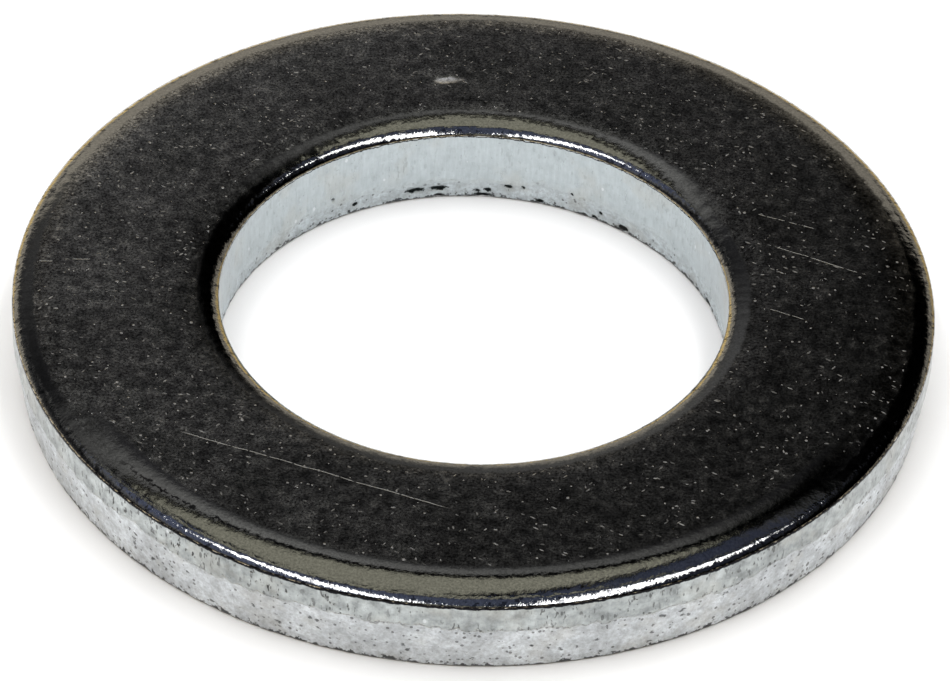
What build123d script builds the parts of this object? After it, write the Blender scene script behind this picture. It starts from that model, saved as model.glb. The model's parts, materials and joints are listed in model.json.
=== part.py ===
from build123d import *
import os

# Flat washer for a 12 mm bolt, stamped from steel strip and zinc plated.
# Millimetres, +Z up along the hole, origin at the centre of the bottom bearing face.
# It is one solid ring: a plain washer has no second piece and nothing that moves.

OUTER_DIAMETER = 23.9
HOLE_DIAMETER = 13.2
THICKNESS = 2.4

# The die roll is the corner of the top face, drawn down where the tool first bites.
RIM_ROLL_WIDTH = 1.38
RIM_ROLL_DEPTH = 0.26
HOLE_ROLL_WIDTH = 1.37
HOLE_ROLL_DEPTH = 0.31

# Below the roll each sheared wall is straight down to the foot of its land,
# then the metal has torn and the wall leans away to the bottom edge.
RIM_LAND_FOOT = 1.40
RIM_TEAR_SETBACK = 0.19
HOLE_LAND_FOOT = 0.45
HOLE_TEAR_SETBACK = 0.05

# The sharp corners of the bottom face are knocked off by tumbling.
BOTTOM_EDGE_BREAK = 0.05

PARTS_FOLDER = "parts"


def rim_points():
    """Outer wall from the top of its straight land down to the bottom face."""
    rim_radius = OUTER_DIAMETER / 2
    bottom_radius = rim_radius - RIM_TEAR_SETBACK
    return [
        (rim_radius, THICKNESS - RIM_ROLL_DEPTH),
        (rim_radius, RIM_LAND_FOOT),
        (bottom_radius, BOTTOM_EDGE_BREAK),
        (bottom_radius - BOTTOM_EDGE_BREAK, 0),
    ]


def hole_points():
    """Hole wall from the bottom face up to the top of its straight land."""
    hole_radius = HOLE_DIAMETER / 2
    bottom_radius = hole_radius + HOLE_TEAR_SETBACK
    return [
        (bottom_radius + BOTTOM_EDGE_BREAK, 0),
        (bottom_radius, BOTTOM_EDGE_BREAK),
        (hole_radius, HOLE_LAND_FOOT),
        (hole_radius, THICKNESS - HOLE_ROLL_DEPTH),
    ]


def rim_roll():
    """Quarter ellipse from the flat of the top face out to the rim land."""
    centre = (OUTER_DIAMETER / 2 - RIM_ROLL_WIDTH, THICKNESS - RIM_ROLL_DEPTH)
    return EllipticalCenterArc(centre, RIM_ROLL_WIDTH, RIM_ROLL_DEPTH, start_angle=0, arc_size=90)


def hole_roll():
    """Quarter ellipse from the flat of the top face in to the hole land."""
    centre = (HOLE_DIAMETER / 2 + HOLE_ROLL_WIDTH, THICKNESS - HOLE_ROLL_DEPTH)
    return EllipticalCenterArc(centre, HOLE_ROLL_WIDTH, HOLE_ROLL_DEPTH, start_angle=90, arc_size=90)


def build_washer():
    """Half section of the ring, turned once round the hole axis."""
    rim = rim_points()
    hole = hole_points()
    rim_flat_end = (OUTER_DIAMETER / 2 - RIM_ROLL_WIDTH, THICKNESS)
    hole_flat_end = (HOLE_DIAMETER / 2 + HOLE_ROLL_WIDTH, THICKNESS)
    with BuildPart() as ring:
        with BuildSketch(Plane.XZ):
            with BuildLine():
                rim_roll()
                Polyline(*rim, *hole)
                hole_roll()
                Line(hole_flat_end, rim_flat_end)
            make_face()
        revolve(axis=Axis.Z)
    return ring.part


washer = build_washer()
washer.label = "washer"
os.makedirs(PARTS_FOLDER, exist_ok=True)
export_step(washer, "parts/washer.step")
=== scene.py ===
import json
import math
import random

import bmesh
import bpy
from mathutils import Matrix, Quaternion, Vector, kdtree, noise


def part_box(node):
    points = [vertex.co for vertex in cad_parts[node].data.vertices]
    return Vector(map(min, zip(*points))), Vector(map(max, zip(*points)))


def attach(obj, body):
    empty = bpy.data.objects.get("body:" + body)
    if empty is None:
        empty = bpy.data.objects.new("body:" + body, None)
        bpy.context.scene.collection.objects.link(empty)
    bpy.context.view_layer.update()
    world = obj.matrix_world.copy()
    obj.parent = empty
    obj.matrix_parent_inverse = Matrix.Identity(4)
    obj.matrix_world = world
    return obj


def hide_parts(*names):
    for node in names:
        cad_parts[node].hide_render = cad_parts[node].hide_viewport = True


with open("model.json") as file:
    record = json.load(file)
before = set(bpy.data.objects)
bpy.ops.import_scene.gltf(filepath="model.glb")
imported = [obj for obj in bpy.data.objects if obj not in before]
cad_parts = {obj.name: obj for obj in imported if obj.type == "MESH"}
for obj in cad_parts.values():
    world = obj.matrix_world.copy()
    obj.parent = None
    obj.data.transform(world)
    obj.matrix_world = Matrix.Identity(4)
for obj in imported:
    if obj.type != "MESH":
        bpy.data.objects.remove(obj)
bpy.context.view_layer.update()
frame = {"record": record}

MM = 0.001

# The ring's main sizes come from the CAD node and its bore mount.
LOW_CORNER, HIGH_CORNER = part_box("washer")
RIM_RADIUS = HIGH_CORNER.x
THICKNESS = HIGH_CORNER.z
BORE = [mount for mount in frame["record"]["mounts"] if mount["name"] == "bore"][0]
HOLE_RADIUS = BORE["dims"]["r_mm"] * MM

# Die roll: the top corners, drawn down by the press. Each runs gently down, then bends over to the wall.
# Every bend gives the steepest slope in degrees, the run and the number of cuts.
RIM_ROLL_BENDS = ((11.5, 1.15 * MM, 8), (35, 0.20 * MM, 8), (90, 0.03 * MM, 5))
HOLE_ROLL_BENDS = ((10.5, 1.13 * MM, 8), (40, 0.234 * MM, 10), (90, 0.030 * MM, 4))


def roll_drop(bends):
    """How far below the top face a roll meets its wall."""
    drop = 0.0
    slope = 0.0
    for degrees, run, _ in bends:
        steepest = math.radians(degrees)
        drop += run * (math.cos(slope) - math.cos(steepest)) / (math.sin(steepest) - math.sin(slope))
        slope = steepest
    return drop


RIM_ROLL_WIDTH = sum(run for _, run, _ in RIM_ROLL_BENDS)
HOLE_ROLL_WIDTH = sum(run for _, run, _ in HOLE_ROLL_BENDS)
RIM_ROLL_DEPTH = roll_drop(RIM_ROLL_BENDS)
HOLE_ROLL_DEPTH = roll_drop(HOLE_ROLL_BENDS)

# Sheared walls: a burnished land above a torn zone that leans away.
RIM_LAND_FOOT = 1.40 * MM
RIM_TEAR_SETBACK = 0.19 * MM
HOLE_LAND_FOOT = 0.45 * MM
HOLE_TEAR_SETBACK = 0.05 * MM
BOTTOM_EDGE_BREAK = 0.05 * MM
# Tears reach up to this height in the hole wall, so the wall is cut finer below it.
HOLE_SCARRED_TOP = 0.85 * MM

# How far the press and the shop leave each surface from its nominal shape.
RIM_FOOT_WANDER = 0.22 * MM
HOLE_FOOT_WANDER = 0.24 * MM
HOLE_FOOT_RAISE = 0.08 * MM
TEAR_LIP = 0.022 * MM
TEAR_LIP_HEIGHT = 0.05 * MM
TEAR_GRAIN = 0.022 * MM
LAND_STREAK = 0.003 * MM
ROLL_RIPPLE = 0.005 * MM
BOTTOM_EDGE_CHIP = 0.05 * MM

# The one dent, far out on the top face, and the finely cut band of face that holds it.
DENT_RADIUS = 8.71 * MM
DENT_BAND = 0.40 * MM
DENT_PLACE = Vector((-0.92 * MM, 8.66 * MM, THICKNESS))
DENT_HALF_LENGTH = 0.36 * MM
DENT_HALF_WIDTH = 0.13 * MM
DENT_DEPTH = 0.030 * MM
DENT_HEADING = math.radians(8)

RING_STEPS = 720
RING_SECTORS = 8
WELD_DISTANCE = 0.0005 * MM
HAIR = 0.001 * MM
SHOP_SEED = 12


# ---------------------------------------------------------------- the turned ring

def rolled_corner(bm, flat_end, side, bends):
    """Chain of arcs from the end of the flat over to the wall, each arc tangent to the last.

    side is 1 where the wall lies outwards and -1 where it lies towards the hole.
    Returns the chain's points from the hole outwards.
    """
    standing = set(bm.verts)
    tip = bm.verts.new(flat_end)
    slope = 0.0
    for degrees, run, steps in bends:
        steepest = math.radians(degrees)
        reach = run / (math.sin(steepest) - math.sin(slope))
        centre = tip.co - Vector((side * math.sin(slope), 0, math.cos(slope))) * reach
        bmesh.ops.spin(
            bm, geom=[tip], cent=centre, axis=(0, 1, 0), angle=side * (steepest - slope), steps=steps,
            use_duplicate=False,
        )
        chain = [point for point in bm.verts if point not in standing]
        tip = max(chain, key=lambda point: side * point.co.x - point.co.z)
        slope = steepest
    return sorted(chain, key=lambda point: (point.co.x, -side * point.co.z))


def nearest_point(bm, place):
    """The point of the outline that stands at place."""
    return min(bm.verts, key=lambda point: (point.co - place).length)


def cut_straight(bm, start, end, cuts):
    """Cuts the straight edge between two places of the outline into even lengths."""
    edge = bm.edges.get((nearest_point(bm, start), nearest_point(bm, end)))
    bmesh.ops.subdivide_edges(bm, edges=[edge], cuts=cuts)


def half_section(bm):
    """Closed outline of the ring's section in the XZ plane."""
    hole_flat_end = Vector((HOLE_RADIUS + HOLE_ROLL_WIDTH, 0, THICKNESS))
    rim_flat_end = Vector((RIM_RADIUS - RIM_ROLL_WIDTH, 0, THICKNESS))
    hole_roll = rolled_corner(bm, hole_flat_end, -1, HOLE_ROLL_BENDS)
    rim_roll = rolled_corner(bm, rim_flat_end, 1, RIM_ROLL_BENDS)
    hole_land_top = hole_roll[0].co.copy()
    rim_land_top = rim_roll[-1].co.copy()
    hole_edge_radius = HOLE_RADIUS + HOLE_TEAR_SETBACK
    rim_edge_radius = RIM_RADIUS - RIM_TEAR_SETBACK
    rim_foot = Vector((RIM_RADIUS, 0, RIM_LAND_FOOT))
    rim_edge = Vector((rim_edge_radius, 0, BOTTOM_EDGE_BREAK))
    rim_bottom = Vector((rim_edge_radius - BOTTOM_EDGE_BREAK, 0, 0))
    hole_bottom = Vector((hole_edge_radius + BOTTOM_EDGE_BREAK, 0, 0))
    hole_edge = Vector((hole_edge_radius, 0, BOTTOM_EDGE_BREAK))
    hole_foot = Vector((HOLE_RADIUS, 0, HOLE_LAND_FOOT))
    hole_scarred_top = Vector((HOLE_RADIUS, 0, HOLE_SCARRED_TOP))
    walls = [rim_foot, rim_edge, rim_bottom, hole_bottom, hole_edge, hole_foot, hole_scarred_top]
    wall_points = [rim_roll[-1]] + [bm.verts.new(place) for place in walls] + [hole_roll[0]]
    dent_inside = Vector((DENT_RADIUS - DENT_BAND, 0, THICKNESS))
    dent_outside = Vector((DENT_RADIUS + DENT_BAND, 0, THICKNESS))
    face_points = [hole_roll[-1], bm.verts.new(dent_inside), bm.verts.new(dent_outside), rim_roll[0]]
    for run in (wall_points, face_points):
        for start, end in zip(run, run[1:]):
            bm.edges.new((start, end))
    cut_straight(bm, rim_land_top, rim_foot, 8)
    cut_straight(bm, rim_foot, rim_edge, 22)
    cut_straight(bm, rim_bottom, hole_bottom, 5)
    cut_straight(bm, hole_edge, hole_foot, 10)
    cut_straight(bm, hole_foot, hole_scarred_top, 9)
    cut_straight(bm, hole_scarred_top, hole_land_top, 6)
    cut_straight(bm, hole_flat_end, dent_inside, 1)
    cut_straight(bm, dent_inside, dent_outside, 9)
    cut_straight(bm, dent_outside, rim_flat_end, 3)


def turned_ring(bm):
    """Turns the half section through one sector, then doubles it until the ring closes."""
    half_section(bm)
    turned = math.tau / RING_SECTORS
    bmesh.ops.spin(
        bm, geom=bm.verts[:] + bm.edges[:], cent=(0, 0, 0), axis=(0, 0, 1),
        angle=turned, steps=RING_STEPS // RING_SECTORS, use_duplicate=False,
    )
    while turned < math.tau - 0.1:
        copied = bmesh.ops.duplicate(bm, geom=bm.verts[:] + bm.edges[:] + bm.faces[:])
        moved = [item for item in copied["geom"] if isinstance(item, bmesh.types.BMVert)]
        bmesh.ops.rotate(bm, cent=(0, 0, 0), matrix=Matrix.Rotation(turned, 3, "Z"), verts=moved)
        bmesh.ops.remove_doubles(bm, verts=bm.verts[:], dist=WELD_DISTANCE)
        turned *= 2
    bmesh.ops.recalc_face_normals(bm, faces=bm.faces[:])


# ---------------------------------------------------------------- what the press and the shop leave

# Tears low in the hole wall: turn in degrees, height, half length and half height in mm.
HOLE_TEARS = (
    (104.6, 0.34, 0.29, 0.090),
    (99.2, 0.35, 0.27, 0.084),
    (90.3, 0.24, 0.09, 0.072),
    (87.6, 0.28, 0.11, 0.081),
    (82.8, 0.47, 0.14, 0.072),
    (79.5, 0.5, 0.07, 0.067),
    (67.6, 0.64, 0.06, 0.072),
    (60.2, 0.31, 0.08, 0.067),
    (54.0, 0.16, 0.20, 0.087),
    (61.8, 0.1, 0.10, 0.072),
    (75.4, 0.12, 0.12, 0.072),
    (89.0, 0.1, 0.26, 0.072),
    (99.0, 0.09, 0.14, 0.072),
    (119.4, 0.31, 0.09, 0.072),
    (125.6, 0.78, 0.06, 0.064),
    (22.0, 0.12, 0.18, 0.072),
    (200.0, 0.36, 0.26, 0.081),
    (236.0, 0.42, 0.14, 0.072),
    (310.0, 0.34, 0.24, 0.078),
)
TEAR_DEPTH = 0.05 * MM
RIM_PITS = 260
PIT_DEPTH = 0.030 * MM
# A dimple fades out at this many times its half length and half width.
DIMPLE_FADE = 1.5
# Edges that turn more than this near the underside are drawn sharp.
SHARP_TURN = math.radians(38)
SHARP_TOP = 0.2 * MM


def round_noise(turn, height, around, upright, salt):
    """Noise that runs round the ring without a seam, between about -1 and 1."""
    place = Vector((math.cos(turn) * around, math.sin(turn) * around, height / MM * upright + salt))
    return noise.noise(place)


def fine_noise(turn, height, around, upright, salt):
    """The same noise with a finer octave added."""
    coarse = round_noise(turn, height, around, upright, salt)
    return 0.65 * coarse + 0.35 * round_noise(turn, height, around * 2.3, upright * 2.3, salt + 40)


def land_foot(turn, nominal, wander, salt):
    """Height at which the burnished land gives way to torn metal."""
    slow = round_noise(turn, 0, 5, 0, salt)
    quick = round_noise(turn, 0, 34, 0, salt + 9)
    return nominal + wander * (0.9 * slow + 0.45 * quick)


def torn_setback(turn, height, foot, lean, salt):
    """How far torn metal stands back from the land at this height."""
    below = foot - height
    share = min(1.0, below / TEAR_LIP_HEIGHT)
    slope = lean * below / (foot - BOTTOM_EDGE_BREAK)
    rough = TEAR_GRAIN * (0.5 + fine_noise(turn, height, 60, 5, salt)) * share
    return TEAR_LIP * share + slope + rough


def shear_walls(bm, below_land):
    """Gives both walls their uneven land, torn zone and chipped bottom edge."""
    rim_wall_inside = RIM_RADIUS - RIM_TEAR_SETBACK - HAIR
    hole_wall_outside = HOLE_RADIUS + HOLE_TEAR_SETBACK + HAIR
    rim_land_top = THICKNESS - RIM_ROLL_DEPTH
    hole_land_top = THICKNESS - HOLE_ROLL_DEPTH
    for point in bm.verts:
        x, y, height = point.co
        radius = math.hypot(x, y)
        turn = math.atan2(y, x)
        moved = radius
        if radius > rim_wall_inside and height <= rim_land_top:
            foot = land_foot(turn, RIM_LAND_FOOT, RIM_FOOT_WANDER, 3)
            point[below_land] = (foot - height) / MM
            if height < foot:
                moved = RIM_RADIUS - torn_setback(turn, height, foot, RIM_TEAR_SETBACK - TEAR_LIP, 21)
            else:
                moved = RIM_RADIUS - LAND_STREAK * abs(round_noise(turn, height, 90, 0.3, 5))
        elif radius < hole_wall_outside and height <= hole_land_top:
            foot = land_foot(turn, HOLE_LAND_FOOT + HOLE_FOOT_RAISE, HOLE_FOOT_WANDER, 60)
            point[below_land] = (foot - height) / MM
            if height < foot:
                moved = HOLE_RADIUS + torn_setback(turn, height, foot, HOLE_TEAR_SETBACK - TEAR_LIP, 74)
            else:
                moved = HOLE_RADIUS + LAND_STREAK * abs(round_noise(turn, height, 60, 0.3, 8))
        else:
            point[below_land] = -1.0
            continue
        if height < BOTTOM_EDGE_BREAK * 1.5:
            point.co.z = max(0.0, height + BOTTOM_EDGE_CHIP * max(0.0, fine_noise(turn, 0, 70, 1, 90)))
        point.co.x = x * moved / radius
        point.co.y = y * moved / radius


def ripple_rolls(bm):
    """Leaves the drawn-down corners slightly uneven, most of all near the walls."""
    for point in bm.verts:
        x, y, height = point.co
        radius = math.hypot(x, y)
        turn = math.atan2(y, x)
        on_rim = (radius - (RIM_RADIUS - RIM_ROLL_WIDTH)) / RIM_ROLL_WIDTH
        on_hole = ((HOLE_RADIUS + HOLE_ROLL_WIDTH) - radius) / HOLE_ROLL_WIDTH
        reach = max(on_rim, on_hole)
        if height < THICKNESS - HOLE_ROLL_DEPTH * 1.05 or reach <= 0:
            continue
        ripple = fine_noise(turn, 0, 45 if on_rim > 0 else 30, 1, 30 + radius / MM * 2)
        point.co.z -= ROLL_RIPPLE * reach * (0.5 + ripple)


def dimple(tree, points, mark, place, along, across, half_length, half_width, push):
    """Presses an oval dimple by push and marks how deep each point went, from 0 to 1."""
    for _, index, _ in tree.find_range(place, half_length * 1.6):
        point = points[index]
        gap = point.co - place
        reach = math.hypot(gap.dot(along) / half_length, gap.dot(across) / half_width)
        if reach < DIMPLE_FADE:
            fall = max(0.0, 1 - reach * reach / DIMPLE_FADE ** 2) ** 2
            point.co += push * fall
            point[mark] = max(point[mark], fall)


def wall_frame(turn, radius, height):
    """A place on a wall with its outward and sideways directions."""
    outward = Vector((math.cos(turn), math.sin(turn), 0))
    sideways = Vector((-math.sin(turn), math.cos(turn), 0))
    return outward * radius + Vector((0, 0, height)), outward, sideways


def pit_and_dent(bm, mark):
    """Pits in the rim's torn zone, tears in the hole's, and the one dent in the top face."""
    points = bm.verts[:]
    tree = kdtree.KDTree(len(points))
    for index, point in enumerate(points):
        tree.insert(point.co, index)
    tree.balance()
    upright = Vector((0, 0, 1))
    draw = random.Random(SHOP_SEED)
    for _ in range(RIM_PITS):
        turn = draw.uniform(0, math.tau)
        height = draw.uniform(0.12, 1.25) * MM
        half_length = draw.choice((0.05, 0.05, 0.06, 0.09)) * MM
        half_height = draw.uniform(0.035, 0.06) * MM
        place, outward, sideways = wall_frame(turn, RIM_RADIUS - RIM_TEAR_SETBACK / 2, height)
        push = -outward * PIT_DEPTH
        dimple(tree, points, mark, place, sideways, upright, half_length, half_height, push)
    for degrees, height, long_half, high_half in HOLE_TEARS:
        turn = math.radians(degrees)
        place, outward, sideways = wall_frame(turn, HOLE_RADIUS + 0.03 * MM, height * MM)
        along = (sideways + upright * draw.uniform(-0.12, 0.12)).normalized()
        push = outward * TEAR_DEPTH
        dimple(tree, points, mark, place, along, upright, long_half * MM, high_half * MM, push)
    along = Vector((math.cos(DENT_HEADING), math.sin(DENT_HEADING), 0))
    across = Vector((-math.sin(DENT_HEADING), math.cos(DENT_HEADING), 0))
    push = -upright * DENT_DEPTH
    dimple(tree, points, mark, DENT_PLACE, along, across, DENT_HALF_LENGTH, DENT_HALF_WIDTH, push)


def finish_faces(bm):
    """Shades faces smooth but for the bottom corners, and gives the walls the second finish."""
    wall_top = THICKNESS - RIM_ROLL_DEPTH + HAIR
    for face in bm.faces:
        face.smooth = True
        middle = face.calc_center_median()
        upright = abs(face.normal.z) < 0.6
        face.material_index = 1 if upright and middle.z < wall_top else 0
    for edge in bm.edges:
        turned = edge.calc_face_angle(0) > SHARP_TURN
        edge.smooth = not (turned and edge.verts[0].co.z < SHARP_TOP)


def make_ring():
    """The whole washer as one closed piece."""
    bm = bmesh.new()
    below_land = bm.verts.layers.float.new("below_land")
    mark = bm.verts.layers.float.new("pressed_in")
    turned_ring(bm)
    shear_walls(bm, below_land)
    ripple_rolls(bm)
    pit_and_dent(bm, mark)
    finish_faces(bm)
    mesh = bpy.data.meshes.new("washer_ring")
    bm.to_mesh(mesh)
    bm.free()
    ring = bpy.data.objects.new("washer_ring", mesh)
    bpy.context.scene.collection.objects.link(ring)
    return ring


# ---------------------------------------------------------------- finish helpers

def lay(tree, kind, feeds, **settings):
    """Adds a node. settings are its switches, feeds its sockets: a value, or another node's output."""
    made = tree.nodes.new(kind)
    for name, value in settings.items():
        setattr(made, name, value)
    for socket, value in feeds.items():
        if isinstance(value, bpy.types.NodeSocket):
            tree.links.new(value, made.inputs[socket])
        else:
            made.inputs[socket].default_value = value
    return made


def work(tree, operation, first, second=0.0):
    """One sum on numbers."""
    return lay(tree, "ShaderNodeMath", {0: first, 1: second}, operation=operation).outputs[0]


def product(tree, *factors):
    """All the factors multiplied together."""
    result = factors[0]
    for factor in factors[1:]:
        result = work(tree, "MULTIPLY", result, factor)
    return result


def most(tree, *masks):
    """The strongest of several masks."""
    strongest = masks[0]
    for mask in masks[1:]:
        strongest = work(tree, "MAXIMUM", strongest, mask)
    return strongest


def between(tree, value, low, high):
    """0 below low, 1 above high, smooth between. Give high below low to turn it round."""
    turned = high < low
    made = lay(
        tree, "ShaderNodeMapRange",
        {"Value": value, "From Min": min(low, high), "From Max": max(low, high),
         "To Min": 1.0 if turned else 0.0, "To Max": 0.0 if turned else 1.0},
        interpolation_type="SMOOTHSTEP",
    )
    return made.outputs["Result"]


def spread(tree, value, low, high, new_low, new_high):
    """Stretches a value from one range to another."""
    made = lay(
        tree, "ShaderNodeMapRange",
        {"Value": value, "From Min": low, "From Max": high, "To Min": new_low, "To Max": new_high},
    )
    return made.outputs["Result"]


def stretched(tree, place, scale, rotation=(0, 0, 0), location=(0, 0, 0)):
    """The same place with each axis scaled, after a turn."""
    made = lay(
        tree, "ShaderNodeMapping",
        {"Vector": place, "Scale": scale, "Rotation": rotation, "Location": location},
    )
    return made.outputs["Vector"]


def laid_along(tree, place, origin, heading, length, width):
    """The same place measured from origin, in lengths along the heading and widths across it."""
    made = lay(
        tree, "ShaderNodeMapping",
        {"Vector": place, "Location": origin, "Rotation": (0, 0, heading), "Scale": (length, width, 1)},
        vector_type="TEXTURE",
    )
    return made.outputs["Vector"]


def grain(tree, place, scale, detail=2.0, roughness=0.5):
    """Soft noise, about 0.5 on average."""
    made = lay(
        tree, "ShaderNodeTexNoise",
        {"Vector": place, "Scale": scale, "Detail": detail, "Roughness": roughness},
    )
    return made.outputs["Fac"]


def blend(tree, share, first, second):
    """Colour mixed from first to second as share goes from 0 to 1."""
    made = lay(tree, "ShaderNodeMix", {0: share, 6: first, 7: second}, data_type="RGBA")
    return made.outputs[2]


def level(tree, share, first, second):
    """Number mixed from first to second as share goes from 0 to 1."""
    made = lay(tree, "ShaderNodeMix", {0: share, 2: first, 3: second}, data_type="FLOAT")
    return made.outputs[0]


def scaled_colour(tree, colour, scale):
    """A colour made brighter or darker."""
    made = lay(tree, "ShaderNodeVectorMath", {0: colour, "Scale": scale}, operation="SCALE")
    return made.outputs[0]


def axes(tree, place):
    """The three parts of a place or direction."""
    split = lay(tree, "ShaderNodeSeparateXYZ", {"Vector": place})
    return split.outputs["X"], split.outputs["Y"], split.outputs["Z"]


def millimetres(tree):
    """Object place in mm and its distance from the hole axis."""
    coordinates = lay(tree, "ShaderNodeTexCoord", {})
    place = stretched(tree, coordinates.outputs["Object"], (1000, 1000, 1000))
    flat = lay(tree, "ShaderNodeVectorMath", {0: place, 1: (1, 1, 0)}, operation="MULTIPLY")
    radius = lay(tree, "ShaderNodeVectorMath", {0: flat.outputs[0]}, operation="LENGTH").outputs["Value"]
    return place, radius


def carried(tree, name):
    """A measure that the mesh carries at each of its points."""
    return lay(tree, "ShaderNodeAttribute", {}, attribute_name=name).outputs["Fac"]


def random_cells(tree, place, scale, **settings):
    """Distance to the middle of the nearest random cell, and three random numbers of that cell."""
    feeds = {"Vector": place, "Scale": scale, "Randomness": 1.0}
    cells = lay(tree, "ShaderNodeTexVoronoi", feeds, **settings)
    chance = lay(tree, "ShaderNodeSeparateColor", {"Color": cells.outputs["Color"]}).outputs
    return cells.outputs["Distance"], chance["Red"], chance["Green"], chance["Blue"]


def scattered_dots(tree, place, scale, size, keep):
    """Small round dots, one in some cells of a random pattern. keep is the share of cells with a dot."""
    distance, rank, width, _ = random_cells(tree, place, scale)
    dot = work(tree, "LESS_THAN", distance, product(tree, width, size))
    return product(tree, dot, work(tree, "LESS_THAN", rank, keep))


def short_nicks(tree, place, degrees, length, width, keep, patch_scale):
    """Short bright nicks that all run at one heading, gathered in patches. length and width in mm."""
    heading = math.radians(degrees)
    laid = laid_along(tree, place, (heading, 2, 0), heading, length, width)
    distance, rank, wide, faint = random_cells(tree, laid, 1.0, voronoi_dimensions="2D")
    reach = spread(tree, wide, 0, 1, 0.16, 0.42)
    nick = between(tree, work(tree, "DIVIDE", distance, reach), 1.0, 0.5)
    patches = spread(tree, grain(tree, place, patch_scale), 0.42, 0.66, 0.05, 2.6)
    wanted = work(tree, "LESS_THAN", rank, product(tree, patches, keep))
    return product(tree, nick, wanted, spread(tree, faint, 0, 1, 0.35, 1.0))


def long_scratch(tree, place, start, end, width, breaks):
    """One thin scratch from start to end in mm, broken here and there."""
    run = Vector(end) - Vector(start)
    laid = laid_along(tree, place, (*start, 0), math.atan2(run.y, run.x), run.length, width)
    along, aside, _ = axes(tree, laid)
    sway = spread(tree, grain(tree, place, 0.9), 0.3, 0.7, -1.6, 1.6)
    off_line = work(tree, "ABSOLUTE", work(tree, "ADD", aside, sway))
    thin = between(tree, off_line, 1.0, 0.3)
    on_run = product(tree, between(tree, along, 0.0, 0.05), between(tree, along, 1.0, 0.93))
    gaps = between(tree, grain(tree, place, 4.5, 2.0, 0.6), breaks, breaks + 0.08)
    return product(tree, thin, on_run, gaps)


def painted_corner_shade(tree, place, height, top, below, above):
    """A dark line painted where a roll meets its wall: painted shade and painted dark reflection."""
    wander = spread(tree, grain(tree, place, 5.5, 3.0, 0.7), 0.3, 0.7, -0.026, 0.026)
    level_here = work(tree, "ADD", height, wander)
    rising = between(tree, level_here, top - below - 0.015, top - below)
    falling = between(tree, level_here, top + above, top + above - 0.012)
    return product(tree, rising, falling)


def painted_corner_shades(tree, place, height, outer):
    """The painted dark lines of shade under both rolls."""
    rim_corner_shade = painted_corner_shade(tree, place, height, (THICKNESS - RIM_ROLL_DEPTH) / MM, 0.03, 0.045)
    hole_corner_shade = painted_corner_shade(tree, place, height, (THICKNESS - HOLE_ROLL_DEPTH) / MM, 0.008, 0.020)
    return level(tree, outer, hole_corner_shade, rim_corner_shade)


def broken_painted_dark_line(tree, place, radius, ahead, start, reach):
    """A thin dark line in short dashes, a painted reflection: reach past start straight ahead, further
    at the sides.
    """
    drawn_down = product(tree, work(tree, "SUBTRACT", start, radius), ahead)
    off_line = work(tree, "SUBTRACT", drawn_down, reach)
    wander = spread(tree, grain(tree, place, 6.0, 3.0, 0.7), 0.3, 0.7, -0.055, 0.055)
    gap = work(tree, "ABSOLUTE", work(tree, "ADD", off_line, wander))
    dashes = between(tree, grain(tree, place, 5.0, 2.0, 0.6), 0.43, 0.49)
    return product(tree, between(tree, gap, 0.050, 0.022), dashes)


def new_finish(name):
    """An empty material with one metal shader."""
    finish = bpy.data.materials.new(name)
    finish.use_nodes = True
    metal = finish.node_tree.nodes["Principled BSDF"]
    metal.inputs["Metallic"].default_value = 1.0
    return finish, finish.node_tree, metal


def coat(tree, metal, colour, rough, tall):
    """Feeds the metal its colour, its roughness and its relief in mm."""
    bump = lay(tree, "ShaderNodeBump", {"Height": tall, "Distance": MM, "Strength": 1.0})
    tree.links.new(colour, metal.inputs["Base Color"])
    tree.links.new(rough, metal.inputs["Roughness"])
    tree.links.new(bump.outputs["Normal"], metal.inputs["Normal"])


# ---------------------------------------------------------------- the finish of the faces and rolls

# Radii in mm where each roll turns polished, is polished all round, and bends over to the wall.
RIM_POLISH = (10.64, 10.80)
RIM_LIP = (11.34, 11.48)
RIM_BEND = (RIM_RADIUS / MM - 0.30, RIM_RADIUS / MM - 0.18)
HOLE_POLISH = (7.52, 7.36)
HOLE_LIP = (7.22, 7.08)
HOLE_BEND = (HOLE_RADIUS / MM + 0.24, HOLE_RADIUS / MM + 0.14)
# Start and reach in mm of the painted dark line, a painted reflection, where each roll starts.
RIM_PAINTED_START_LINE = (10.57, 0.46)
HOLE_PAINTED_START_LINE = (7.99, 0.815)
# Everything beyond this radius in mm belongs to the rim.
MIDDLE_RADIUS = 9.0

# Straight scratches on the top face: start, end and width in mm, and how broken each is.
FACE_SCRATCHES = (
    ((-7.37, -6.01), (-0.30, -8.63), 0.016, 0.36),
    ((7.36, 3.44), (8.93, 2.87), 0.016, 0.36),
    ((7.58, 2.21), (10.25, 1.06), 0.014, 0.40),
    ((7.65, -0.42), (8.55, -0.81), 0.014, 0.40),
    ((-11.30, 0.50), (-10.95, 0.46), 0.018, 0.30),
    ((-10.65, 0.55), (-9.97, 0.59), 0.016, 0.36),
)
# Short nicks: heading in degrees, length and width in mm, share kept, and scale of their patches.
FACE_NICKS = (
    (-30, 0.27, 0.075, 0.022, 0.42),
    (-4, 0.20, 0.080, 0.018, 0.60),
    (48, 0.24, 0.070, 0.014, 0.50),
    (106, 0.18, 0.070, 0.011, 0.70),
)

FACE_DARK = (0.0, 0.0, 0.0, 1)
FACE_PALE = (1.0, 1.0, 0.995, 1)
ROLL_PALE = (1.0, 1.0, 0.99, 1)
SPECK_GREY = (0.80, 0.80, 0.80, 1)
NICK_GREY = (0.82, 0.82, 0.82, 1)
SCRATCH_GREY = (0.82, 0.82, 0.80, 1)
# Painted highlight: the white glints painted on the dent.
DENT_PAINTED_GLINT = (1.0, 1.0, 1.0, 1)
# Painted shade: dark nicks that break up the highlight on the bends.
CORNER_NICK_PAINTED_SHADE = (0.03, 0.03, 0.04, 1)
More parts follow.
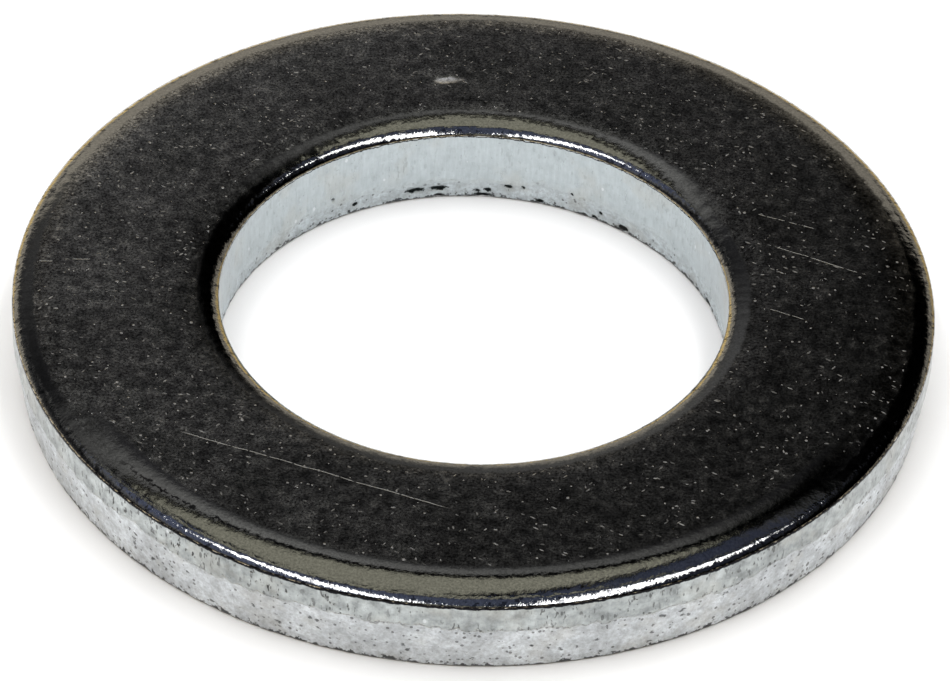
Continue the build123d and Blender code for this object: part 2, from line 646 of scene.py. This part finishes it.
# Painted reflection: the dark of the broken line where each roll starts.
ROLL_START_PAINTED_DARK = (0.015, 0.015, 0.018, 1)
# Painted shade: the dark of the lines where the rolls meet the walls.
CORNER_PAINTED_SHADE = (0.01, 0.01, 0.012, 1)


def roll_masks(tree, place, radius, ahead, on_top):
    """Where the rolls are polished, and where they bend over to the walls."""
    wander = spread(tree, grain(tree, place, 3.2, 4.0, 0.65), 0.25, 0.75, -0.07, 0.07)
    ragged = work(tree, "ADD", radius, wander)
    rim_roll = product(tree, between(tree, ragged, *RIM_POLISH), between(tree, ahead, -0.40, -0.66))
    hole_roll = product(tree, between(tree, ragged, *HOLE_POLISH), between(tree, ahead, 0.40, 0.70))
    lips = most(tree, between(tree, ragged, *RIM_LIP), between(tree, ragged, *HOLE_LIP))
    bends = most(tree, between(tree, ragged, *RIM_BEND), between(tree, ragged, *HOLE_BEND))
    return product(tree, most(tree, rim_roll, hole_roll, lips), on_top), product(tree, bends, on_top)


def face_tone_and_painted_reflection(tree, place, side, far, mottle, smudge):
    """How pale the face is: mottled, kept dark partly as painted reflection, and darker to the right and
    on the near side as painted reflection.
    """
    cloud = grain(tree, place, 0.55, 3.0, 0.55)
    return product(
        tree,
        spread(tree, mottle, 0.36, 0.68, 0.06, 0.82),
        spread(tree, smudge, 0.32, 0.68, 0.58, 1.42),
        spread(tree, cloud, 0.35, 0.65, 0.80, 1.20),
        # Painted reflection: darker to the right and on the near side.
        spread(tree, side, -10.0, 10.0, 1.05, 0.48),
        spread(tree, far, -10.0, 10.0, 0.70, 1.10),
    )


def painted_roll_start_lines(tree, place, radius, ahead, on_top):
    """The broken painted dark lines, a painted reflection, on the near rim roll and on the far hole
    roll.
    """
    rim_painted_start = broken_painted_dark_line(tree, place, radius, ahead, *RIM_PAINTED_START_LINE)
    hole_painted_start = broken_painted_dark_line(tree, place, radius, ahead, *HOLE_PAINTED_START_LINE)
    near = between(tree, ahead, -0.56, -0.72)
    far = spread(tree, ahead, 0.56, 0.80, 0.0, 0.75)
    both = most(tree, product(tree, rim_painted_start, near), product(tree, hole_painted_start, far))
    return product(tree, both, on_top)


def rolled_face_finish():
    """Bright zinc on the faces: dark, partly as painted reflection, and smooth, with specks and scuffs,
    and paler polished rolls.
    """
    finish, tree, metal = new_finish("rolled_zinc_face")
    place, radius = millimetres(tree)
    side, far, height = axes(tree, place)
    ahead = work(tree, "DIVIDE", far, radius)
    on_top = work(tree, "GREATER_THAN", height, 1.0)
    roll, bend = roll_masks(tree, place, radius, ahead, on_top)
    mottle = grain(tree, place, 15.0, 3.0, 0.75)
    smudge = grain(tree, place, 3.6, 3.0, 0.6)

    finer = stretched(tree, place, (1, 1, 1), (0, 0, 0.7), (3, 5, 0))
    specks = most(
        tree, scattered_dots(tree, place, 4.0, 0.18, 0.17), scattered_dots(tree, finer, 8.0, 0.26, 0.12),
    )
    nicks = most(tree, *(short_nicks(tree, place, *nick) for nick in FACE_NICKS))
    scratches = most(tree, *(long_scratch(tree, place, *scratch) for scratch in FACE_SCRATCHES))
    scratches = product(tree, scratches, on_top)
    dented = work(tree, "ADD", carried(tree, "pressed_in"), spread(tree, smudge, 0.3, 0.7, -0.2, 0.2))
    bruise = between(tree, dented, 0.10, 0.60)
    glint = spread(tree, grain(tree, place, 7.0, 3.0, 0.7), 0.38, 0.60, 0.35, 1.0)

    # Painted reflection: the face's tone, dark and darker to the right and on the near side.
    face = blend(tree, face_tone_and_painted_reflection(tree, place, side, far, mottle, smudge), FACE_DARK, FACE_PALE)
    face = blend(tree, product(tree, specks, 0.70), face, SPECK_GREY)
    face = blend(tree, product(tree, nicks, 0.90), face, NICK_GREY)
    face = blend(tree, scratches, face, SCRATCH_GREY)
    # Painted highlight: patchy white glints painted over the dent.
    face = blend(tree, product(tree, bruise, glint), face, DENT_PAINTED_GLINT)

    polished = blend(tree, spread(tree, mottle, 0.3, 0.7, 0.33, 0.58), FACE_DARK, ROLL_PALE)
    polished = blend(tree, product(tree, nicks, 0.35), polished, SPECK_GREY)
    # Nicks on the bends, painted near black as painted shade that breaks up the highlight.
    corner_nick_shade = between(tree, grain(tree, place, 4.5, 3.0, 0.7), 0.56, 0.60)
    polished = blend(tree, product(tree, corner_nick_shade, bend, 0.70), polished, CORNER_NICK_PAINTED_SHADE)

    colour = blend(tree, roll, face, polished)
    painted_start_lines = painted_roll_start_lines(tree, place, radius, ahead, on_top)
    # Painted reflection: a thin broken dark line where each roll starts.
    colour = blend(tree, product(tree, painted_start_lines, 0.92), colour, ROLL_START_PAINTED_DARK)
    outer = work(tree, "GREATER_THAN", radius, MIDDLE_RADIUS)
    # Painted shade: a dark line where each roll meets its wall.
    colour = blend(tree, painted_corner_shades(tree, place, height, outer), colour, CORNER_PAINTED_SHADE)

    face_rough = spread(tree, smudge, 0.3, 0.7, 0.15, 0.24)
    face_rough = level(tree, most(tree, specks, nicks, scratches, bruise), face_rough, 0.50)
    roll_rough = spread(tree, grain(tree, place, 5.0, 3.0, 0.6), 0.3, 0.7, 0.05, 0.09)
    rough = level(tree, roll, face_rough, roll_rough)

    skin = product(tree, mottle, 0.0012)
    skin = work(tree, "SUBTRACT", skin, product(tree, most(tree, nicks, scratches), 0.0014))
    skin = work(tree, "ADD", skin, product(tree, specks, 0.0010))
    rolled = product(tree, grain(tree, place, 7.0, 3.0, 0.6), 0.0020)
    hammered = product(tree, grain(tree, place, 6.0, 3.0, 0.6), 0.0085)
    rolled = work(tree, "ADD", rolled, product(tree, hammered, bend))
    coat(tree, metal, colour, rough, level(tree, roll, skin, rolled))
    return finish


# ---------------------------------------------------------------- the finish of the walls

HOLE_LAND_ZINC = (0.45, 0.495, 0.51, 1)
RIM_LAND_ZINC = (0.385, 0.41, 0.41, 1)
# The hole's torn zone is paler partly as painted light, offsetting the shaded floor that its wall
# reflects.
HOLE_TORN_ZINC_AND_PAINTED_LIGHT = (0.61, 0.66, 0.685, 1)
RIM_TORN_ZINC = (0.65, 0.68, 0.71, 1)
WARM_ZINC = (0.46, 0.435, 0.375, 1)
# Painted shade: the grey along the step where the torn zone falls back from the land.
FOOT_PAINTED_SHADE = (0.12, 0.12, 0.12, 1)
BRIGHT_MARK = (0.74, 0.76, 0.78, 1)
DARK_MARK = (0.07, 0.07, 0.07, 1)
# Painted shade: the near black inside pits and tears.
PIT_PAINTED_SHADE = (0.012, 0.016, 0.016, 1)
# Painted shade: the dark along the walls' bottom edge.
LOW_EDGE_PAINTED_SHADE = (0.03, 0.03, 0.03, 1)


def wall_shade(tree, place, outer, torn, streaks, blotch, frost):
    """The walls' bare metal, uneven in tone: land and torn zone, rim and hole."""
    soft_blotch = spread(tree, blotch, 0.3, 0.7, 0.91, 1.07)
    hard_blotch = spread(tree, blotch, 0.32, 0.68, 0.62, 1.30)
    land_blotch = level(tree, outer, soft_blotch, hard_blotch)
    land_tone = product(tree, spread(tree, streaks, 0.3, 0.7, 0.92, 1.08), land_blotch)
    torn_blotch = spread(tree, blotch, 0.32, 0.68, 0.80, 1.16)
    torn_tone = product(tree, spread(tree, frost, 0.3, 0.7, 0.70, 1.22), torn_blotch)
    patches = grain(tree, stretched(tree, place, (1, 1, 0.6)), 0.62)
    patchy = level(tree, outer, 1.0, spread(tree, patches, 0.35, 0.65, 0.88, 1.12))
    tone = product(tree, patchy, level(tree, torn, land_tone, torn_tone))
    land = blend(tree, outer, HOLE_LAND_ZINC, RIM_LAND_ZINC)
    # The hole's torn colour is partly painted light.
    rough_metal = blend(tree, outer, HOLE_TORN_ZINC_AND_PAINTED_LIGHT, RIM_TORN_ZINC)
    return scaled_colour(tree, blend(tree, torn, land, rough_metal), tone)


def wall_flecks(tree, place, outer, torn):
    """Small dark marks on both walls, gathered here and there."""
    gathered = spread(tree, grain(tree, place, 0.9), 0.35, 0.65, 0.2, 1.8)
    tall_marks = stretched(tree, place, (1, 1, 0.45))
    land_marks = scattered_dots(tree, tall_marks, 7.0, 0.32, product(tree, gathered, 0.55))
    fine_place = stretched(tree, place, (9, 9, 3.8))
    ticks = between(tree, grain(tree, fine_place, 1.0, 2.0, 0.6), 0.60, 0.66)
    land_marks = most(tree, land_marks, product(tree, ticks, gathered, 0.85))
    land_marks = product(tree, land_marks, level(tree, outer, 0.20, 1.0))
    torn_marks = scattered_dots(tree, place, 7.0, 0.36, product(tree, gathered, 0.58))
    wide_place = stretched(tree, place, (1, 1, 0.8))
    big_marks = scattered_dots(tree, wide_place, 3.6, 0.24, product(tree, gathered, 0.12))
    return level(tree, torn, land_marks, most(tree, torn_marks, big_marks))


def sheared_wall_finish():
    """Bright zinc on the walls: a satin land with upright streaks above a frosty, pitted torn zone."""
    finish, tree, metal = new_finish("sheared_zinc_wall")
    place, radius = millimetres(tree)
    _, _, height = axes(tree, place)
    outer = work(tree, "GREATER_THAN", radius, MIDDLE_RADIUS)
    fray = spread(tree, grain(tree, place, 3.5, 4.0, 0.7), 0.3, 0.7, -0.10, 0.10)
    frayed = work(tree, "ADD", carried(tree, "below_land"), fray)
    torn = level(tree, outer, between(tree, frayed, -0.26, 0.14), between(tree, frayed, -0.07, 0.09))
    streaks = grain(tree, stretched(tree, place, (12, 12, 1.6)), 1.0, 3.0, 0.6)
    cloud = grain(tree, place, 0.8, 3.0, 0.55)
    blotch = grain(tree, place, 3.0, 4.0, 0.65)
    frost = grain(tree, place, 9.0, 4.0, 0.75)

    colour = wall_shade(tree, place, outer, torn, streaks, blotch, frost)
    warmth = between(tree, cloud, 0.50, 0.66)
    colour = blend(tree, product(tree, warmth, 0.22), colour, WARM_ZINC)
    # Painted shade: a broken grey line along the land's foot, where the torn zone steps back; fainter in
    # the hole.
    foot_shade_line = between(tree, work(tree, "ABSOLUTE", frayed), 0.026, 0.008)
    foot_breaks = between(tree, grain(tree, place, 3.0, 2.0, 0.6), 0.50, 0.58)
    foot_shade_line = product(tree, foot_shade_line, foot_breaks, level(tree, outer, 0.06, 0.60))
    colour = blend(tree, foot_shade_line, colour, FOOT_PAINTED_SHADE)

    turned = stretched(tree, place, (1, 1, 0.7), (0, 0, 1.1), (4, 1, 2))
    bright_marks = scattered_dots(tree, turned, 5.0, 0.26, 0.10)
    colour = blend(tree, product(tree, bright_marks, 0.5), colour, BRIGHT_MARK)
    flecks = wall_flecks(tree, place, outer, torn)
    colour = blend(tree, product(tree, flecks, 0.66), colour, DARK_MARK)
    # Painted shade: pits and tears are painted near black inside, a little less on the rim.
    pitted = work(tree, "ADD", carried(tree, "pressed_in"), spread(tree, frost, 0.3, 0.7, -0.45, 0.45))
    pit_shade = between(tree, pitted, 0.30, 0.60)
    colour = blend(tree, product(tree, pit_shade, level(tree, outer, 1.0, 0.72)), colour, PIT_PAINTED_SHADE)

    # Painted shade: the walls darken in a ragged band towards the bottom edge.
    shade_wander = spread(tree, grain(tree, place, 4.5, 3.0, 0.7), 0.3, 0.7, -0.16, 0.16)
    low_edge_shade = between(tree, work(tree, "ADD", height, shade_wander), 0.10, 0.055)
    colour = blend(tree, product(tree, low_edge_shade, 0.88), colour, LOW_EDGE_PAINTED_SHADE)
    # Painted shade: a dark line where each roll meets its wall.
    colour = blend(tree, painted_corner_shades(tree, place, height, outer), colour, CORNER_PAINTED_SHADE)

    land_rough = spread(tree, streaks, 0.3, 0.7, 0.26, 0.38)
    torn_rough = spread(tree, frost, 0.3, 0.7, 0.42, 0.62)
    land_height = work(tree, "ADD", product(tree, streaks, 0.003), product(tree, blotch, 0.012))
    torn_height = work(tree, "ADD", product(tree, frost, 0.035), product(tree, blotch, 0.05))
    tall = level(tree, torn, land_height, torn_height)
    tall = work(tree, "SUBTRACT", tall, product(tree, flecks, 0.010))
    coat(tree, metal, colour, level(tree, torn, land_rough, torn_rough), tall)
    return finish


ring = make_ring()
ring.data.materials.append(rolled_face_finish())
ring.data.materials.append(sheared_wall_finish())
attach(ring, "root")
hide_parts("washer")


# ---------------------------------------------------------------- floor, light and camera

def pale_floor():
    """A wide pale table top under the washer."""
    bm = bmesh.new()
    bmesh.ops.create_grid(bm, x_segments=1, y_segments=1, size=1.5)
    mesh = bpy.data.meshes.new("floor")
    bm.to_mesh(mesh)
    bm.free()
    floor = bpy.data.objects.new("floor", mesh)
    bpy.context.scene.collection.objects.link(floor)
    paint = bpy.data.materials.new("pale_table")
    paint.use_nodes = True
    matt = paint.node_tree.nodes["Principled BSDF"]
    matt.inputs["Base Color"].default_value = (0.90, 0.90, 0.90, 1)
    matt.inputs["Roughness"].default_value = 0.9
    matt.inputs["Specular IOR Level"].default_value = 0.1
    mesh.materials.append(paint)


# Studio walls as seen in the metal: height above the horizon in degrees, and colour.
STUDIO_WALLS = (
    (0, (0.85, 0.63, 0.28)),
    (3, (0.76, 0.60, 0.32)),
    (7, (0.37, 0.335, 0.275)),
    (18, (0.37, 0.34, 0.285)),
    (21, (0.095, 0.093, 0.089)),
    (36, (0.090, 0.090, 0.091)),
    (40, (0.041, 0.041, 0.042)),
    (43, (0.022, 0.022, 0.024)),
    (45, (0.030, 0.030, 0.032)),
    (47, (0.125, 0.125, 0.122)),
    (49, (0.185, 0.185, 0.180)),
    (52, (0.185, 0.185, 0.180)),
    (54, (0.095, 0.110, 0.170)),
    (90, (0.115, 0.135, 0.205)),
)
# The bands of the walls stand higher towards both sides, as an arch.
# Directions are unit lengths: across is their part to the right, rise their part upwards.
ARCH_REACH = 0.20
ARCH_SLOPE = 0.90
ARCH_FADE = (0.58, 0.48)
# Where the low glow gives way to the dark walls, and these to the glow overhead.
LOW_GLOW_TOP = (0.315, 0.36)
HIGH_GLOW_FOOT = (0.765, 0.80)
BRIGHTEST_WALL = 1.35

# A warm ceiling panel behind the washer, with a black frame: flat along its lower side, rounded above.
PANEL_LOW_SIDE = math.sin(math.radians(53.0))
PANEL_RISE = math.sin(math.radians(64.5)) - PANEL_LOW_SIDE
PANEL_MIDDLE = -0.048
PANEL_HALF_WIDTH = 0.200
PANEL_FRAME = 0.022
PANEL_GLOW = (0.347, 0.340, 0.271, 1)
FRAME_BLACK = (0.0, 0.0, 0.0, 1)
# The plain wall that the camera itself sees behind the table.
PLAIN_WALL = (0.80, 0.80, 0.80, 1)


def banded_walls(tree, across, rise):
    """Dark room with a pale glow at table height, brighter on the left."""
    bank = work(tree, "MINIMUM", work(tree, "ABSOLUTE", across), ARCH_REACH)
    arch = product(tree, bank, ARCH_SLOPE, between(tree, rise, *ARCH_FADE))
    arched_rise = work(tree, "SUBTRACT", rise, arch)
    ramp = lay(tree, "ShaderNodeValToRGB", {"Fac": arched_rise})
    stops = ramp.color_ramp.elements
    while len(stops) > 1:
        stops.remove(stops[-1])
    for index, (degrees, colour) in enumerate(STUDIO_WALLS):
        place = math.sin(math.radians(degrees))
        stop = stops[0] if index == 0 else stops.new(place)
        stop.position = place
        stop.color = (*colour, 1)
    middle_glow = product(
        tree,
        work(tree, "MINIMUM", spread(tree, across, -0.25, 0.25, 2.0, 0.06), BRIGHTEST_WALL),
        between(tree, across, 0.150, 0.070),
        spread(tree, across, -0.28, -0.09, 0.45, 1.0),
    )
    low_glow = spread(tree, across, -0.20, 0.60, 1.10, 0.70)
    high_glow = spread(tree, across, -0.30, 0.40, 1.15, 0.20)
    strength = level(tree, between(tree, rise, *HIGH_GLOW_FOOT), middle_glow, high_glow)
    strength = level(tree, between(tree, arched_rise, *LOW_GLOW_TOP), low_glow, strength)
    return scaled_colour(tree, ramp.outputs["Color"], strength)


def with_panel(tree, across, rise, walls):
    """The walls with the framed ceiling panel hung before them."""
    lift = work(tree, "SUBTRACT", rise, PANEL_LOW_SIDE)
    aside = work(tree, "DIVIDE", work(tree, "SUBTRACT", across, PANEL_MIDDLE), PANEL_HALF_WIDTH)
    sag = product(tree, aside, aside, PANEL_RISE)
    headroom = work(tree, "SUBTRACT", work(tree, "SUBTRACT", PANEL_RISE, lift), sag)
    depth = work(tree, "MINIMUM", lift, headroom)
    framed = blend(tree, between(tree, depth, -PANEL_FRAME - 0.003, -PANEL_FRAME), walls, FRAME_BLACK)
    return blend(tree, between(tree, depth, -0.002, 0.002), framed, PANEL_GLOW)


def studio_walls():
    """The room as the metal reflects it. The camera itself sees only a plain pale wall."""
    world = bpy.data.worlds.new("studio")
    world.use_nodes = True
    bpy.context.scene.world = world
    tree = world.node_tree
    direction = lay(tree, "ShaderNodeTexCoord", {}).outputs["Generated"]
    across, _, rise = axes(tree, direction)
    reflected = with_panel(tree, across, rise, banded_walls(tree, across, rise))
    seen_directly = lay(tree, "ShaderNodeLightPath", {}).outputs["Is Camera Ray"]
    lit = blend(tree, seen_directly, reflected, PLAIN_WALL)
    tree.links.new(lit, tree.nodes["Background"].inputs["Color"])


# Soft boxes: name, place, width, length, watts, and whether the metal reflects the box itself.
SOFT_BOXES = (
    ("overhead", (0, 0, 0.80), 1.4, 1.4, 11.6, False),
    ("left_box", (-0.132, -0.040, 0.476), 0.32, 0.066, 0.38, True),
    ("right_box", (0.135, -0.010, 0.460), 0.42, 0.078, 0.60, True),
)

LENS_LENGTH_MM = 239.2
SENSOR_WIDTH_MM = 36
CAMERA_PLACE = (0, -0.12533, 0.10733)
CAMERA_AIM = (0.00007, 0, 0.00060)
CAMERA_ROLL = math.radians(2.115)


def soft_box(name, place, width, length, watts, seen_in_metal):
    """A rectangular soft light that faces the washer."""
    light = bpy.data.lights.new(name, "AREA")
    light.shape = "RECTANGLE"
    light.size = width
    light.size_y = length
    light.energy = watts
    box = bpy.data.objects.new(name, light)
    box.location = place
    box.rotation_mode = "QUATERNION"
    box.rotation_quaternion = (-Vector(place)).to_track_quat("-Z", "Y")
    box.visible_glossy = seen_in_metal
    bpy.context.scene.collection.objects.link(box)


def table_camera():
    """Long lens, looking down at the near side of the washer, with a slight roll."""
    lens = bpy.data.cameras.new("camera")
    lens.lens = LENS_LENGTH_MM
    lens.sensor_width = SENSOR_WIDTH_MM
    lens.clip_start = 0.001
    camera = bpy.data.objects.new("camera", lens)
    camera.location = CAMERA_PLACE
    gaze = Vector(CAMERA_AIM) - camera.location
    camera.rotation_mode = "QUATERNION"
    camera.rotation_quaternion = gaze.to_track_quat("-Z", "Y") @ Quaternion((0, 0, 1), CAMERA_ROLL)
    bpy.context.scene.collection.objects.link(camera)
    bpy.context.scene.camera = camera


pale_floor()
studio_walls()
for soft_light in SOFT_BOXES:
    soft_box(*soft_light)
table_camera()
bpy.context.scene.view_settings.view_transform = "Standard"
